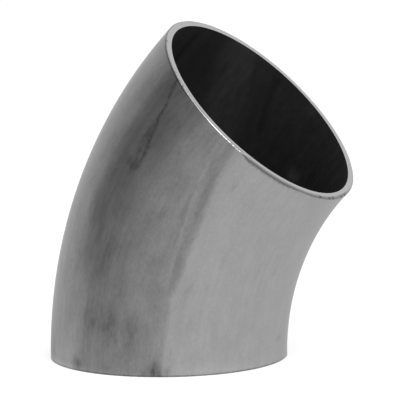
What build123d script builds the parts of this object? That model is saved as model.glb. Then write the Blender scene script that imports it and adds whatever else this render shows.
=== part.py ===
from build123d import *
import os

# A forty-five degree butt weld elbow, formed in one piece from a length of seamless
# steel tube and cut square at both ends. It stands on its lower end. The origin is the
# centre of that end, +Z runs up the tube from it, and the tube bends towards +X.

# Driving dimensions, in millimetres and degrees
outside_diameter = 101.6
wall = 3.05
bend_radius = 152.4
bend_angle = 45.0
outer_edge_break = 0.25
inner_edge_break = 0.25

outer_radius = outside_diameter / 2
bore_radius = outer_radius - wall

# The bend's own axis runs along Y at this distance from the origin
bend_centre = Vector(bend_radius, 0, 0)
bend_axis = Axis(bend_centre, (0, 1, 0))


def wall_section():
    """The square-cut ring of wall that stands on the ground plane."""
    return Plane.XY * (Circle(outer_radius) - Circle(bore_radius))


def formed_tube():
    """The ring carried round the bend, from the lower end to the upper one."""
    return revolve(wall_section(), bend_axis, bend_angle)


def end_rims(tube, radius):
    """The two round edges of this radius, one on each cut end."""
    return [edge for edge in tube.edges().filter_by(GeomType.CIRCLE)
            if abs(edge.radius - radius) < wall / 10 and edge.is_closed]


def elbow():
    """The formed tube with the burr taken off the rims of both cut ends."""
    tube = formed_tube()
    tube = chamfer(end_rims(tube, outer_radius), outer_edge_break)
    return chamfer(end_rims(tube, bore_radius), inner_edge_break)


os.makedirs("parts", exist_ok=True)
export_step(elbow(), "parts/elbow.step")
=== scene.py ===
import math
import bmesh
import bpy
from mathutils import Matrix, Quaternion, Vector, noise


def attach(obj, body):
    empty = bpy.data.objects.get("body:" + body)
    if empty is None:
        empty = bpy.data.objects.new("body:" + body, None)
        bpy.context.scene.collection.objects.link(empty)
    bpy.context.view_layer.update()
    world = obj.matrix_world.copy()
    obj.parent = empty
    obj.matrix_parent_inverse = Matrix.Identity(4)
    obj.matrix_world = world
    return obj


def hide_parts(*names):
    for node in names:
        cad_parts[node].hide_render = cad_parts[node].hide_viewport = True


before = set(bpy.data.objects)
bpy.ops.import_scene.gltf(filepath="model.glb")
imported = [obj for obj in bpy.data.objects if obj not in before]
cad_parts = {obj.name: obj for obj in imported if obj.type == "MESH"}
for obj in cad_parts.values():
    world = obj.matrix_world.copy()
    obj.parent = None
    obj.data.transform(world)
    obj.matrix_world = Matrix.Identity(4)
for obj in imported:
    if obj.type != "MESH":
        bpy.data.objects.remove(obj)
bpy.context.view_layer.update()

# A forty-five degree butt weld elbow standing on its lower end, in metres.
# +Z runs up the tube from the lower end and the tube bends towards +X.
# A place on the tube is given by its angle round the section and its angle along the bend:
# round is 0 on the inside of the bend, -90 on the side towards the camera, 180 on the outside.
elbow = {
    "outsideDiameter": 0.1016,
    "wall": 0.00305,
    "bendRadius": 0.1524,
    "bendAngle": 45.0,
    "roundSteps": 480,
    "lowerEnd": (2.0, 4),       # degrees and rows: close rows by each cut end, wider ones between
    "middle": (40.2, 54),
    "upperEnd": (2.8, 7),
    "outerBreak": 0.00025,
    "innerBreak": 0.00025,
}
outerRadius = elbow["outsideDiameter"] / 2
boreRadius = outerRadius - elbow["wall"]
middleRadius = outerRadius - elbow["wall"] / 2
bendRadius = elbow["bendRadius"]
bendAngle = math.radians(elbow["bendAngle"])
bendCentre = Vector((bendRadius, 0, 0))


def toTube(point):
    # how far round, how far out and how far along the bend a point lies
    fromAxis = math.hypot(bendRadius - point.x, point.z)
    side = bendRadius - fromAxis
    return math.atan2(point.y, side), math.hypot(side, point.y), math.atan2(point.z, bendRadius - point.x)


def fromTube(around, out, along):
    fromAxis = bendRadius - out * math.cos(around)
    return Vector((bendRadius - fromAxis * math.cos(along), out * math.sin(around), fromAxis * math.sin(along)))


def spinWall(mesh):
    # a ring of wall on the ground, carried round the bend in three turns
    made = bmesh.ops.create_circle(mesh, cap_ends=False, radius=outerRadius, segments=elbow["roundSteps"])
    rim = list({edge for vert in made["verts"] for edge in vert.link_edges})
    grown = bmesh.ops.extrude_edge_only(mesh, edges=rim)["geom"]
    bore = [item for item in grown if isinstance(item, bmesh.types.BMVert)]
    bmesh.ops.scale(mesh, vec=(boreRadius / outerRadius, boreRadius / outerRadius, 1), verts=bore)
    ring = list(mesh.faces)
    for part in ("lowerEnd", "middle", "upperEnd"):
        turn, rows = elbow[part]
        spun = bmesh.ops.spin(mesh, geom=ring, cent=bendCentre, axis=(0, 1, 0), angle=math.radians(turn),
                              steps=rows, use_merge=False, use_duplicate=False, use_normal_flip=part == "lowerEnd")
        if part != "lowerEnd":
            bmesh.ops.delete(mesh, geom=ring, context="FACES")
        ring = [item for item in spun["geom_last"] if isinstance(item, bmesh.types.BMFace)]
    bmesh.ops.recalc_face_normals(mesh, faces=mesh.faces)


def rimEdges(mesh, radius):
    # the edges that run round both cut ends at this radius
    found = []
    for edge in mesh.edges:
        places = [toTube(vert.co) for vert in edge.verts]
        atRadius = all(abs(out - radius) < 1e-5 for around, out, along in places)
        atEnd = all(min(abs(along), abs(along - bendAngle)) < 1e-5 for around, out, along in places)
        if atRadius and atEnd:
            found.append(edge)
    return found


def breakRims(mesh, radius, width):
    bmesh.ops.bevel(mesh, geom=rimEdges(mesh, radius), offset=width, offset_type="OFFSET", segments=1,
                    profile=0.5, affect="EDGES", material=-1, clamp_overlap=True)


def nameFaces(mesh):
    # 0 outer skin, 1 cut ends and their broken edges, 2 bore
    for face in mesh.faces:
        around, out, along = toTube(face.calc_center_median())
        fromEnd = min(along, bendAngle - along) * (bendRadius - out * math.cos(around))
        onCut = fromEnd < elbow["outerBreak"] * (0.9 if out > middleRadius else 0.1)
        face.material_index = 1 if onCut else 0 if out > middleRadius else 2
    for edge in mesh.edges:
        edge.smooth = len({face.material_index for face in edge.link_faces}) == 1 and edge.calc_face_angle(0) < 0.4


def soft(value, low, high):
    # 0 below low and 1 above high, eased between
    share = min(max((value - low) / (high - low), 0), 1)
    return share * share * (3 - 2 * share)


def bump(value, middle, half):
    return soft(1 - abs(value - middle) / half, 0, 1)


# What sawing and filing left on the rim of the upper end. Angles are round the section.
rim = {
    "plainShare": 0.75,           # shares of the clean edge break
    "filedShare": 1.2,
    "filedFrom": -100.0,          # degrees
    "filedFull": -84.0,
    "filedTo": -68.0,
    "boreShare": 0.3,
    "beadSize": 0.8,
    "skinInset": 0.00002,         # keeps the formed skin just inside the clean outside
    "lipHeight": 0.0002,          # burr pushed outwards under the filed face
    "lipDepth": 0.0017,
    "lipFrom": -67.0,
    "lipTo": -36.0,
    "nicks": [(-147, 2.2, 0.9), (-141, 1.0, 0.6), (-18.7, 2.4, 0.9), (-11, 1.8, 0.8),
              (-7.5, 2.2, 0.9), (1.4, 1.8, 0.8), (6, 2.0, 0.9), (41, 1.2, 0.9), (88, 1.4, 1.0), (129, 1.0, 0.7)],
    "waveHeight": 0.00007,        # unevenness of the formed skin
    "waveWidth": 0.011,
    "waveLength": 0.07,
}


def breakShare(degrees, upper):
    # how wide the outer edge break is here, as a share of the clean one
    grain = noise.noise(Vector((degrees / rim["beadSize"], 3.7 if upper else 9.1, 0)))
    share = rim["plainShare"] * (1 + 0.4 * grain)
    if upper:
        filed = soft(degrees, rim["filedFrom"], rim["filedFull"])
        filed *= 1 - soft(degrees, rim["filedTo"], rim["filedTo"] + 0.8)
        share += filed * (rim["filedShare"] * (1 + 0.45 * grain) - share)
        for place, size, half in rim["nicks"]:
            share += size * bump(degrees, place, half)
    farthest = max(soft(abs(degrees), 155, 162), 1 - soft(abs(degrees), 12, 18))
    return min(share + farthest * max(1.0 - share, 0), 2.6)


def wearElbow(mesh):
    # moves each point of the clean shape to where forming, sawing and filing left it
    for vert in mesh.verts:
        around, out, along = toTube(vert.co)
        degrees = math.degrees(around)
        fromAxis = bendRadius - out * math.cos(around)
        upper = along > bendAngle / 2
        fromEnd = (bendAngle - along if upper else along) * fromAxis
        inset = outerRadius - out
        if out > middleRadius:
            if max(fromEnd, inset) < elbow["outerBreak"] * 1.05:
                share = breakShare(degrees, upper)
                fromEnd *= share
                inset *= share
            if upper:
                lip = soft(degrees, rim["lipFrom"], rim["lipFrom"] + 3) * (1 - soft(degrees, rim["lipTo"] - 14, rim["lipTo"]))
                inset -= rim["lipHeight"] * lip * (1 - soft(fromEnd, 0.0003, rim["lipDepth"]))
            place = Vector((math.cos(around), math.sin(around), 0)) * (outerRadius / rim["waveWidth"])
            place.z = along * bendRadius / rim["waveLength"]
            inset += rim["waveHeight"] * (0.5 + 0.5 * noise.noise(place)) * soft(fromEnd, 0.0006, 0.005)
            out = outerRadius - inset - rim["skinInset"]
        elif out - boreRadius < elbow["innerBreak"] * 1.05 and fromEnd < elbow["innerBreak"] * 1.05:
            share = rim["boreShare"] * (1 + 0.5 * noise.noise(Vector((degrees / 1.3, 5.2, 4.0))))
            fromEnd *= share
            out = boreRadius + (out - boreRadius) * share
        fromAxis = bendRadius - out * math.cos(around)
        fromEnd += rim["skinInset"]
        along = bendAngle - fromEnd / fromAxis if upper else fromEnd / fromAxis
        vert.co = fromTube(around, out, along)


def buildElbow():
    mesh = bmesh.new()
    spinWall(mesh)
    breakRims(mesh, outerRadius, elbow["outerBreak"])
    breakRims(mesh, boreRadius, elbow["innerBreak"])
    nameFaces(mesh)
    wearElbow(mesh)
    bmesh.ops.recalc_face_normals(mesh, faces=mesh.faces)
    data = bpy.data.meshes.new("elbow_wall")
    mesh.to_mesh(data)
    mesh.free()
    piece = bpy.data.objects.new("elbow_wall", data)
    bpy.context.scene.collection.objects.link(piece)
    return piece


wallPiece = buildElbow()
print("elbow wall:", len(wallPiece.data.polygons), "faces")


class Wire:
    # one output of a node, which can be written in a sum
    def __init__(self, tree, socket=None):
        self.tree = tree
        self.socket = socket

    def node(self, kind, settings=None, inputs=None, out=0):
        made = self.tree.nodes.new(kind)
        for name, value in (settings or {}).items():
            if name == "stops":
                while len(made.color_ramp.elements) < len(value):
                    made.color_ramp.elements.new(0.5)
                for element, (place, level) in zip(made.color_ramp.elements, value):
                    element.position = place
                    element.color = (level, level, level, 1)
            else:
                setattr(made, name, value)
        for name, value in (inputs or {}).items():
            if isinstance(value, Wire):
                self.tree.links.new(value.socket, made.inputs[name])
            else:
                made.inputs[name].default_value = value
        return Wire(self.tree, made.outputs[out] if made.outputs else None)

    def sum(self, operation, *values):
        return self.node("ShaderNodeMath", {"operation": operation}, dict(enumerate(values)))

    def __add__(self, other):
        return self.sum("ADD", self, other)

    def __sub__(self, other):
        return self.sum("SUBTRACT", self, other)

    def __rsub__(self, other):
        return self.sum("SUBTRACT", other, self)

    def __mul__(self, other):
        return self.sum("MULTIPLY", self, other)

    def __truediv__(self, other):
        return self.sum("DIVIDE", self, other)

    def __pow__(self, other):
        return self.sum("POWER", self, other)

    __radd__ = __add__
    __rmul__ = __mul__


def startMaterial(name):
    material = bpy.data.materials.new(name)
    material.use_nodes = True
    material.node_tree.nodes.clear()
    return material, Wire(material.node_tree)


def finishMaterial(wire, inputs):
    shader = wire.node("ShaderNodeBsdfPrincipled", None, inputs)
    wire.node("ShaderNodeOutputMaterial", None, {"Surface": shader})


def grey(level):
    return (level, level, level, 1)


def softStep(wire, value, low, high, start=0.0, end=1.0):
    # start below low and end above high, eased between
    return wire.node("ShaderNodeMapRange", {"interpolation_type": "SMOOTHSTEP"},
                     {"Value": value, "From Min": low, "From Max": high, "To Min": start, "To Max": end})


def splitPlace(wire):
    place = wire.node("ShaderNodeSeparateXYZ", None, {"Vector": wire.node("ShaderNodeTexCoord", out="Object")})
    return [Wire(wire.tree, socket) for socket in place.socket.node.outputs]


class TubePlace:
    # the shader's own toTube: degrees round and along, metres out and from the axis of the bend,
    # and the tube laid out straight for patterns that run along it
    def __init__(self, wire):
        x, y, z = splitPlace(wire)
        reach = bendRadius - x
        self.fromAxis = (reach * reach + z * z) ** 0.5
        side = bendRadius - self.fromAxis
        self.around = wire.sum("ARCTAN2", y, side) * math.degrees(1)
        self.along = wire.sum("ARCTAN2", z, reach) * math.degrees(1)
        self.out = (side * side + y * y) ** 0.5
        self.fromTop = (elbow["bendAngle"] - self.along) * self.fromAxis * math.radians(1)
        self.straight = wire.node("ShaderNodeCombineXYZ", None,
                                  {"X": side, "Y": y, "Z": self.along * (bendRadius * math.radians(1))})


def stretched(wire, straight, across, lengthways, detail=3.0, shift=0.0):
    # noise about 0.5 with cells so wide across the tube and so long along it, in metres
    vector = wire.node("ShaderNodeVectorMath", {"operation": "MULTIPLY"},
                       {0: straight, 1: (1 / across, 1 / across, 1 / lengthways)})
    vector = wire.node("ShaderNodeVectorMath", {"operation": "ADD"}, {0: vector, 1: (shift, shift, shift)})
    return wire.node("ShaderNodeTexNoise", None, {"Vector": vector, "Scale": 1.0, "Detail": detail, "Roughness": 0.55})


def ramp(wire, value, stops):
    # a level read off straight runs between stops of (value, level)
    low, high = stops[0][0], stops[-1][0]
    floor = min(level for at, level in stops)
    span = max(max(level for at, level in stops) - floor, 1e-6)
    places = [((at - low) / (high - low), (level - floor) / span) for at, level in stops]
    return floor + span * wire.node("ShaderNodeValToRGB", {"stops": places}, {0: (value - low) / (high - low)})


def spots(wire, around, along, places):
    # soft patches, each (round, along, half width, half height, how much lighter or darker), as one factor
    factor = 1.0
    for middle, height, halfWidth, halfHeight, change in places:
        across = (around - middle) / halfWidth
        up = (along - height) / halfHeight
        factor = factor * softStep(wire, (across * across + up * up) ** 0.5, 0.0, 1.35, 1.0 + change, 1.0)
    return factor


def stroke(wire, around, along, line, halfWidth, change):
    # a mark that runs along the tube through points of (along, round), as a factor
    offset = wire.sum("ABSOLUTE", around - ramp(wire, along, line))
    start, end = line[0][0], line[-1][0]
    ends = softStep(wire, along, start - 0.8, start + 0.5) * softStep(wire, along, end - 0.5, end + 0.8, 1.0, 0.0)
    return 1.0 + change * softStep(wire, offset, 0.2 * halfWidth, halfWidth, 1.0, 0.0) * ends


# The steel as it was formed. A darker film lies on the side of the bend, between two ragged edges,
# with draw marks that run along the tube and stains at the lower end. Angles are in degrees.
skin = {
    "level": 0.345,
    "roughness": 0.33,
    "film": 0.80,
    "filmRight": [(0, -67.6), (8, -66.4), (12, -66.0), (14.6, -67.2), (15.8, -65.3), (20, -64.6), (28, -64.8), (33, -66.5),
                  (38, -69.0), (45, -72.3)],
    "filmLeft": [(0, -114), (4, -113), (8, -110), (11, -108), (13.5, -110), (18, -116), (24, -122), (32, -124), (45, -120)],
    "filmDark": [(30, -96), (35, -94.5), (45, -91.5)],
    "drawMark": [(31.8, -105.6), (33.8, -106.1), (36.7, -108.6), (39.3, -110.4), (41, -111.8), (43.1, -114.6),
                 (45, -117.2)],
    "drawShadow": [(32, -108.2), (34.5, -110.4), (37.5, -111.0)],
    "lightStreak": [(18, -69.6), (25, -71.0), (30, -72.8), (35, -75), (39.5, -77.2), (41, -78.5), (45, -80.5)],
    "darkStreak": [(24, -72.3), (28, -73.6), (33, -75.8), (37, -77.8)],
}


def buildSteel():
    material, wire = startMaterial("formed_steel")
    tube = TubePlace(wire)
    straight = tube.straight
    drift = stretched(wire, straight, 0.007, 0.014, shift=3.0) - 0.5
    ripple = stretched(wire, straight, 0.0014, 0.004, detail=5.0, shift=8.0) - 0.5
    lift = stretched(wire, straight, 0.004, 0.005, detail=5.0, shift=15.0) - 0.5
    torn = softStep(wire, stretched(wire, straight, 0.0016, 0.006, detail=5.0, shift=44.0), 0.36, 0.64)
    speckle = softStep(wire, stretched(wire, straight, 0.0009, 0.0016, detail=4.0, shift=50.0), 0.4, 0.62)
    # lines keep close to their places, patches wander
    around = tube.around + drift * 1.4 + ripple * 2.6
    along = tube.along + lift * 1.0
    patchAround = tube.around + drift * 5.0 + ripple * 5.0
    patchAlong = tube.along + lift * 4.0
    # the film
    right = ramp(wire, along, skin["filmRight"])
    left = ramp(wire, along, skin["filmLeft"])
    filmSide = softStep(wire, around - right, -1.4, 1.4, 1.0, 0.0) * softStep(wire, tube.around, -178, -150)
    film = filmSide * softStep(wire, patchAround - left, -6.0, 3.5)
    edgeStripe = softStep(wire, wire.sum("ABSOLUTE", around - right + 2.6), 0.2, 2.6, 1.0, 0.0)
    edgeStripe = edgeStripe * softStep(wire, along, 13, 18) * softStep(wire, along, 34, 42, 1.0, 0.4)
    darkEdge = ramp(wire, along, skin["filmDark"])
    darkFilm = softStep(wire, around - darkEdge, -1.8, 1.8, 1.0, 0.0) * softStep(wire, around, -116, -102)
    darkFilm = darkFilm * softStep(wire, along, 30, 38)
    level = skin["level"] * (1.0 - film * (1 - skin["film"])) * (1.0 - edgeStripe * 0.12) * (1.0 - darkFilm * 0.12)
    # long marks: a soft shadow with a broken dark core
    level = level * stroke(wire, around, along, skin["drawMark"], 3.2, -0.08)
    level = level * stroke(wire, around, along, skin["drawMark"], 1.6, -0.12 - speckle * 0.32)
    level = level * stroke(wire, around, along, skin["drawShadow"], 1.9, -0.06 - speckle * 0.22)
    level = level * stroke(wire, around, along, skin["lightStreak"], 1.4, 0.08)
    level = level * stroke(wire, around, along, skin["darkStreak"], 1.5, -0.04 - torn * 0.06)
    # patches: middle, half width, half height, change
    patches = spots(wire, patchAround, patchAlong, [
        (-108.5, 31.2, 5.0, 1.6, -0.14), (-118.2, 42.7, 3.8, 1.7, -0.07), (-102.5, 43.8, 2.4, 1.3, -0.18),
        (-98.5, 44.0, 1.9, 1.1, -0.12), (-99.6, 40.5, 1.5, 0.9, -0.12), (-92.0, 38.0, 2.3, 0.9, -0.08),
        (-83.6, 28.0, 3.6, 1.3, -0.12), (-86.5, 29.3, 2.0, 1.7, 0.08), (-80.3, 28.0, 1.4, 3.4, 0.07),
        (-103.2, 24.6, 6.0, 2.8, -0.13), (-118.5, 22.9, 10.0, 2.6, -0.12), (-110.2, 20.8, 2.8, 2.4, -0.15),
        (-103.0, 19.2, 4.2, 2.8, -0.18), (-105.5, 16.4, 4.4, 2.8, -0.18), (-101.2, 16.8, 3.2, 2.0, -0.1),
        (-90.5, 14.6, 2.2, 2.8, -0.13), (-77.0, 15.6, 5.6, 2.0, -0.08), (-104.5, 7.2, 5.0, 2.3, -0.2),
        (-95.0, 7.7, 5.2, 3.6, -0.27), (-90.6, 8.4, 2.3, 2.8, -0.1), (-83.2, 7.2, 5.0, 4.4, -0.26),
        (-92.0, 5.8, 3.6, 2.4, -0.1), (-74.5, 7.8, 3.8, 2.4, -0.08), (-58.0, 10.0, 7.0, 3.6, -0.07),
        (-60.5, 17.0, 4.6, 3.8, -0.08), (4.0, 36.0, 15.0, 5.0, -0.06)])
    stains = spots(wire, around, along, [
        (-109.3, 31.5, 5.0, 0.9, -0.3), (-113.6, 0.9, 4.2, 1.1, -0.42), (-94.6, 1.3, 4.6, 1.4, -0.16), (-70.8, 0.7, 4.6, 1.7, -0.5),
        (-70.4, 2.2, 2.4, 2.0, -0.14),
        (-64.7, 1.0, 1.8, 1.0, -0.22), (-76.2, 0.6, 1.5, 0.9, -0.2),
        (-61.4, 38.6, 1.5, 1.6, -0.1), (-18.0, 23.2, 1.4, 1.7, -0.1), (1.0, 6.0, 4.0, 1.1, -0.12),
        (-17.6, 1.2, 3.0, 1.1, -0.09), (2.0, 20.0, 2.0, 1.6, -0.06), (-63.4, 3.2, 1.5, 2.2, -0.1)])
    level = level * (1.0 + (patches - 1.0) * (0.6 + torn * 0.85)) * (1.0 + (stains - 1.0) * (0.6 + torn * 0.7))
    # painted shade in a dark line just under the upper end, under the saw's burr, and painted contact shade in a line
    # along the lower end
    burrShadeWidth = ramp(wire, tube.around, [(-164, 0.0), (-156, 0.0013), (-112, 0.0014), (-100, 0.0005), (-70, 0.0003),
                                         (-64, 0.0022), (-44, 0.0022), (-34, 0.001), (8, 0.0011), (14, 0.0)])
    burrShadeWidth = burrShadeWidth * (0.8 + speckle * 0.3)
    # painted shade under the saw's burr, just under the upper end
    burrShadeLine = softStep(wire, tube.fromTop / (burrShadeWidth + 0.00001), 0.3, 1.0, 1.0, 0.0)
    fromFloor = tube.along * tube.fromAxis * math.radians(1)
    # painted contact shade: darker within about a millimetre of the lower end
    contactShadeLine = softStep(wire, fromFloor, 0.0003, 0.0011, 1.0, 0.0) * (0.5 + torn * 0.5)
    level = level * (1.0 - burrShadeLine * 0.58) * (1.0 - contactShadeLine * 0.6)
    # grain: cloudy on the film, nearly plain beside it
    cloudy = stretched(wire, straight, 0.008, 0.013, detail=5.0, shift=21.0) - 0.5
    streaky = stretched(wire, straight, 0.0022, 0.03, detail=4.0, shift=27.0) - 0.5
    fine = stretched(wire, straight, 0.0009, 0.0018, detail=4.0, shift=33.0) - 0.5
    level = level * (1.0 + cloudy * (0.2 + filmSide * 0.34) + streaky * (0.2 + film * 0.12)
                     + fine * (0.22 + filmSide * 0.18))
    # brighter just above the lower end on the light side, painted shadow at the foot of its outside, and darker inside
    # the bend
    lowEnd = softStep(wire, tube.along, 0.4, 3.4, 0.13, 0.0) * softStep(wire, tube.around, -66, -56)
    lowEnd = lowEnd * softStep(wire, tube.around, -40, 0, 1.0, 0.2)
    # painted shadow at the foot, towards the outside of the bend
    lowShadow = softStep(wire, patchAlong, 0.6, 4.2, 1.0, 0.0) * softStep(wire, patchAround, -142, -130, 1.0, 0.0)
    lowShadow = lowShadow * softStep(wire, tube.around, -178, -158)
    inside = softStep(wire, tube.around, -6, 14, 0.0, 0.13) * softStep(wire, tube.around, 60, 170, 1.0, 0.0)
    bare = softStep(wire, patchAround, -138, -126) * softStep(wire, patchAround, -112, -106, 1.0, 0.0)
    bare = bare * softStep(wire, patchAlong, 10, 17, 1.0, 0.0)
    level = level * (1.0 + lowEnd + bare * 0.12) * (1.0 - lowShadow * 0.25) * (1.0 - inside)
    roughness = skin["roughness"] + film * 0.02 + streaky * 0.12 + cloudy * 0.06
    heights = streaky * 0.00005 + fine * 0.000015
    normal = wire.node("ShaderNodeBump", None, {"Height": heights, "Distance": 1.0, "Strength": 1.0})
    finishMaterial(wire, {"Base Color": level, "Metallic": 1.0, "Roughness": roughness, "Normal": normal,
                          "Specular Tint": grey(0.85)})
    return material


# The two faces that the saw left, with its fine marks, and the filed stretch of the outer rim
cutEnds = {
    "level": 0.41,
    "roughness": 0.3,
    "markLength": 3.4,
    "markWidth": 0.00016,
    "knocks": [(-147, 1.5, 0.0014), (173.5, 4.5, 0.0009), (-18.7, 1.8, 0.0016), (-11, 1.5, 0.0014), (-7.5, 1.4, 0.0017),
               (1.4, 1.6, 0.0016), (6, 1.8, 0.0015)],   # round, half width in degrees, depth in metres
}


def buildCut():
    material, wire = startMaterial("cut_steel")
    tube = TubePlace(wire)
    turn = tube.around * math.radians(1)
    ring = wire.node("ShaderNodeCombineXYZ", None,
                     {"X": wire.sum("COSINE", turn) * cutEnds["markLength"], "Y": wire.sum("SINE", turn) * cutEnds["markLength"],
                      "Z": tube.out / cutEnds["markWidth"] + turn * 6})
    marks = wire.node("ShaderNodeTexNoise", None, {"Vector": ring, "Scale": 1.0, "Detail": 3.0, "Roughness": 0.6}) - 0.5
    specks = stretched(wire, tube.straight, 0.0011, 0.0011, shift=5.0)
    inset = outerRadius - tube.out
    upper = softStep(wire, tube.along, 20, 25)
    # a darker line inside the filed stretch, and dark specks beyond its two ends
    filed = softStep(wire, tube.around, -106, -94) * softStep(wire, tube.around, -69, -67, 1.0, 0.0) * upper
    shade = softStep(wire, wire.sum("ABSOLUTE", inset - 0.0009), 0.0002, 0.0006, 1.0, 0.0) * filed * 0.5
    speckled = softStep(wire, wire.sum("ABSOLUTE", tube.around + 115), 5, 12, 1.0, 0.0)
    shade = shade + softStep(wire, specks, 0.48, 0.62) * speckled * softStep(wire, inset, 0.0012, 0.0024, 1.0, 0.0) * 0.4
    # painted shade on the outer part of the ring and its edge break, which turn down: widest under the light side, a
    # thin broken line elsewhere
    edgeShadeWidth = ramp(wire, tube.around, [(-180, 0.0005), (-150, 0.0005), (-98, 0.0004), (-86, 0.0), (-69, 0.0), (-64, 0.0012),
                                         (-30, 0.0013), (8, 0.0013), (20, 0.0005), (60, 0.0003), (180, 0.0005)])
    edgeShadeWidth = edgeShadeWidth * (0.35 + specks * 1.3)
    edgeShade = softStep(wire, inset / (edgeShadeWidth + 0.00001), 0.6, 1.1, 1.0, 0.0) * upper
    # painted shade in the knocks in the outer edge
    for place, half, depth in cutEnds["knocks"]:
        near = softStep(wire, wire.sum("ABSOLUTE", tube.around - place), 0.4 * half, half, 1.0, 0.0)
        shade = shade + near * softStep(wire, inset, 0.5 * depth, depth, 0.4, 0.0) * upper
    # painted highlight: a lighter line along the inner edge of the ring
    light = softStep(wire, tube.out - boreRadius, 0.0002, 0.0006, 0.1, 0.0)
    level = cutEnds["level"] * (1.0 + marks * 0.35 + light - shade) * (1.0 - edgeShade * 0.5)
    # painted contact shade on the lower cut end and its edge break
    level = level * (0.35 + 0.65 * softStep(wire, tube.along, 0.12, 0.2))
    normal = wire.node("ShaderNodeBump", None, {"Height": marks * 0.00002, "Distance": 1.0, "Strength": 1.0})
    finishMaterial(wire, {"Base Color": level, "Metallic": 1.0, "Roughness": cutEnds["roughness"] + marks * 0.15,
                          "Normal": normal})
    return material


# Dark scale in the bore, with a lighter band and darker streaks that run along it
bore = {
    "level": 0.0099,
    "lightBand": [(20, 117), (34, 121), (39, 126), (45, 131)],
    "darkStreak": [(35, 98.5), (37.6, 100.5), (43.9, 108.2)],
    "shortStreak": [(39, 114), (44.2, 121.8)],
    "farStreak": [(39, 165.6), (43.4, 163.6)],
}


def buildScale():
    material, wire = startMaterial("bore_scale")
    tube = TubePlace(wire)
    straight = tube.straight
    around = tube.around + (stretched(wire, straight, 0.006, 0.02, shift=2.0) - 0.5) * 6
    along = tube.along + (stretched(wire, straight, 0.006, 0.006, shift=6.0) - 0.5) * 2
    offset = wire.sum("ABSOLUTE", around - ramp(wire, along, bore["lightBand"]))
    level = bore["level"] * (1.0 + softStep(wire, offset, 2, 18, 1.4, 0.0))
    level = level * stroke(wire, around, along, bore["darkStreak"], 2.4, -0.45)
    level = level * stroke(wire, around, along, bore["shortStreak"], 2.6, -0.25)
    level = level * stroke(wire, around, along, bore["farStreak"], 2.4, -0.35)
    level = level * spots(wire, around, along, [(68.5, 33.3, 4.6, 1.8, 1.9), (82.8, 44.6, 9.0, 2.0, 0.4),
                                                (150, 41.5, 9.0, 3.0, -0.2), (141, 39, 6.0, 2.4, -0.25)])
    streaky = stretched(wire, straight, 0.004, 0.05, shift=11.0) - 0.5
    cloudy = stretched(wire, straight, 0.003, 0.005, detail=5.0, shift=17.0) - 0.5
    level = level * (1.0 + streaky * 0.8 + cloudy * 1.3)
    roughness = 0.6 + streaky * 0.2
    normal = wire.node("ShaderNodeBump", None, {"Height": cloudy * 0.0001, "Distance": 1.0, "Strength": 1.0})
    finishMaterial(wire, {"Base Color": level, "Metallic": 0.0, "Roughness": roughness, "Normal": normal,
                          "Specular IOR Level": 0.25})
    return material


steel = buildSteel()
cut = buildCut()
scale = buildScale()
for material in (steel, cut, scale):
    wallPiece.data.materials.append(material)
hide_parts("elbow")
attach(wallPiece, "root")

# The camera stands at long range, a little above the middle of the elbow
camera = {
    "azimuth": 25.7218,     # from the side of the bend towards its inside
    "elevation": 7.4768,
    "roll": -0.7924,
    "distance": 1.25265,
    "aim": (0.015758, 0, 0.067849),
    "lens": 265.646,
    "sensor": 36.0,
}


def facing(azimuth, elevation):
    # the direction at this angle round from -Y towards +X, and this angle up
    azimuth = math.radians(azimuth)
    elevation = math.radians(elevation)
    return Vector((math.sin(azimuth) * math.cos(elevation), -math.cos(azimuth) * math.cos(elevation),
                   math.sin(elevation)))


def placeCamera():
    data = bpy.data.cameras.new("camera")
    data.sensor_width = camera["sensor"]
    data.lens = camera["lens"]
    data.clip_start = 0.05
    data.clip_end = 50
    holder = bpy.data.objects.new("camera", data)
    bpy.context.scene.collection.objects.link(holder)
    back = facing(camera["azimuth"], camera["elevation"])
    holder.location = Vector(camera["aim"]) + back * camera["distance"]
    holder.rotation_mode = "QUATERNION"
    roll = Quaternion((0, 0, 1), math.radians(camera["roll"]))
    holder.rotation_quaternion = (-back).to_track_quat("-Z", "Y") @ roll
    bpy.context.scene.camera = holder


placeCamera()

studio = {
    "floorRadius": 12.0,
    "floorPaper": 0.8,
    "floorShare": 0.5,          # share of the floor that takes shadow, as the camera sees it
    "floorGlow": 0.66,          # the rest of it
    "skyLevel": 0.9,
    "lampAzimuth": 50.0,
    "lampElevation": 57.0,
    "lampDistance": 1.4,
    "lampSize": 1.1,
    "lampLevel": 3.0,
    "cardRadius": 0.5,
    "cardHeight": 0.5,
    "cardFrom": -150.0,
    "cardTo": 30.0,
}


def stagePiece(name, mesh, material):
    data = bpy.data.meshes.new(name)
    mesh.to_mesh(data)
    mesh.free()
    data.materials.append(material)
    piece = bpy.data.objects.new(name, data)
    bpy.context.scene.collection.objects.link(piece)
    return piece


def makeFloor():
    material, wire = startMaterial("floor_paper")
    rays = wire.node("ShaderNodeLightPath").socket.node.outputs
    seen = Wire(wire.tree, rays["Is Camera Ray"])
    mirrored = Wire(wire.tree, rays["Is Glossy Ray"]) + Wire(wire.tree, rays["Is Transmission Ray"])
    share = (1.0 - seen * (1 - studio["floorShare"])) * (1.0 - mirrored)
    paper = wire.node("ShaderNodeBsdfDiffuse", None, {"Color": grey(studio["floorPaper"])})
    dark = wire.node("ShaderNodeBsdfDiffuse", None, {"Color": grey(0.0)})
    paper = wire.node("ShaderNodeMixShader", None, {0: share, 1: dark, 2: paper})
    glow = wire.node("ShaderNodeEmission", None, {"Color": grey(1.0), "Strength": seen * studio["floorGlow"] + mirrored})
    both = wire.node("ShaderNodeAddShader", None, {0: paper, 1: glow})
    wire.node("ShaderNodeOutputMaterial", None, {"Surface": both})
    mesh = bmesh.new()
    bmesh.ops.create_circle(mesh, cap_ends=True, radius=studio["floorRadius"], segments=64)
    stagePiece("floor", mesh, material)


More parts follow.
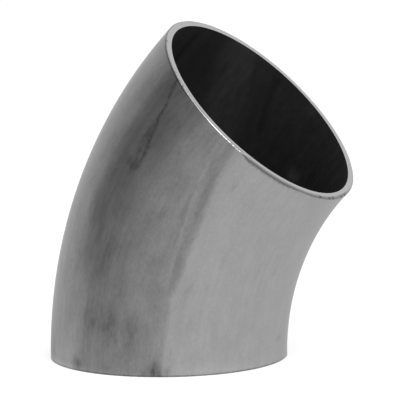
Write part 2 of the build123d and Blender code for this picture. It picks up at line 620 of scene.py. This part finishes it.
def makeCard():
    # a grey card that lies on the floor and stands up to the left of the camera, only for the steel to reflect
    material, wire = startMaterial("grey_card")
    x, y, z = splitPlace(wire)
    azimuth = wire.sum("ARCTAN2", x, -1.0 * y) * math.degrees(1)
    reach = (x * x + y * y) ** 0.5

    right = ramp(wire, azimuth, [(-60, 0.12), (-48, 0.22), (-35, 0.45), (-22, 0.62), (-8, 0.76), (18, 0.82), (26, 1.0)])
    leftPlace = azimuth + (z - 0.2) * 75
    left = ramp(wire, leftPlace, [(-138, 1.0), (-124, 0.84), (-110, 0.75), (-98, 0.65), (-86, 0.5), (-74, 0.33), (-62, 0.14)])
    low = ramp(wire, reach, [(0.06, 0.8), (0.15, 0.66), (0.3, 0.58), (0.5, 0.5)])
    high = ramp(wire, z, [(0.0, 0.5), (0.08, 0.4), (0.16, 0.2), (0.22, 0.1)])
    onWall = softStep(wire, z, 0.001, 0.002)
    plain = low + (high - low) * onWall
    level = wire.sum("MAXIMUM", wire.sum("MAXIMUM", right, left), plain)
    glow = wire.node("ShaderNodeEmission", None, {"Color": grey(1.0), "Strength": level})
    wire.node("ShaderNodeOutputMaterial", None, {"Surface": glow})
    mesh = bmesh.new()
    rows = [(0.055, 0.0005), (studio["cardRadius"], 0.0005), (studio["cardRadius"], studio["cardHeight"])]
    start = facing(studio["cardFrom"], 0)
    points = [mesh.verts.new((start.x * reach, start.y * reach, height)) for reach, height in rows]
    edges = [mesh.edges.new(pair) for pair in zip(points, points[1:])]
    bmesh.ops.spin(mesh, geom=points + edges, cent=(0, 0, 0), axis=(0, 0, 1), steps=90, use_merge=False,
                   angle=math.radians(studio["cardTo"] - studio["cardFrom"]), use_duplicate=False)
    card = stagePiece("grey_card", mesh, material)
    card.visible_camera = False
    card.visible_diffuse = False
    card.visible_transmission = False
    card.visible_shadow = False


def makeLamp():
    data = bpy.data.lights.new("soft_lamp", "AREA")
    data.shape = "SQUARE"
    data.size = studio["lampSize"]
    data.energy = studio["lampLevel"] * math.pi * studio["lampSize"] ** 2
    lamp = bpy.data.objects.new("soft_lamp", data)
    bpy.context.scene.collection.objects.link(lamp)
    towards = facing(studio["lampAzimuth"], studio["lampElevation"])
    lamp.location = Vector(camera["aim"]) + towards * studio["lampDistance"]
    lamp.rotation_euler = towards.to_track_quat("Z", "Y").to_euler()


def makeSky():
    world = bpy.data.worlds.new("studio")
    bpy.context.scene.world = world
    world.use_nodes = True
    world.node_tree.nodes.clear()
    wire = Wire(world.node_tree)
    rays = wire.node("ShaderNodeLightPath", out="Is Camera Ray").socket.node.outputs
    plain = Wire(wire.tree, rays["Is Camera Ray"]) + Wire(wire.tree, rays["Is Glossy Ray"]) + Wire(wire.tree, rays["Is Transmission Ray"])
    level = wire.sum("MINIMUM", studio["skyLevel"] + plain, 1.0)
    sky = wire.node("ShaderNodeBackground", None, {"Color": grey(1.0), "Strength": level})
    wire.node("ShaderNodeOutputWorld", None, {"Surface": sky})


makeFloor()
makeCard()
makeLamp()
makeSky()
bpy.context.scene.view_settings.view_transform = "Standard"
print("studio ready")
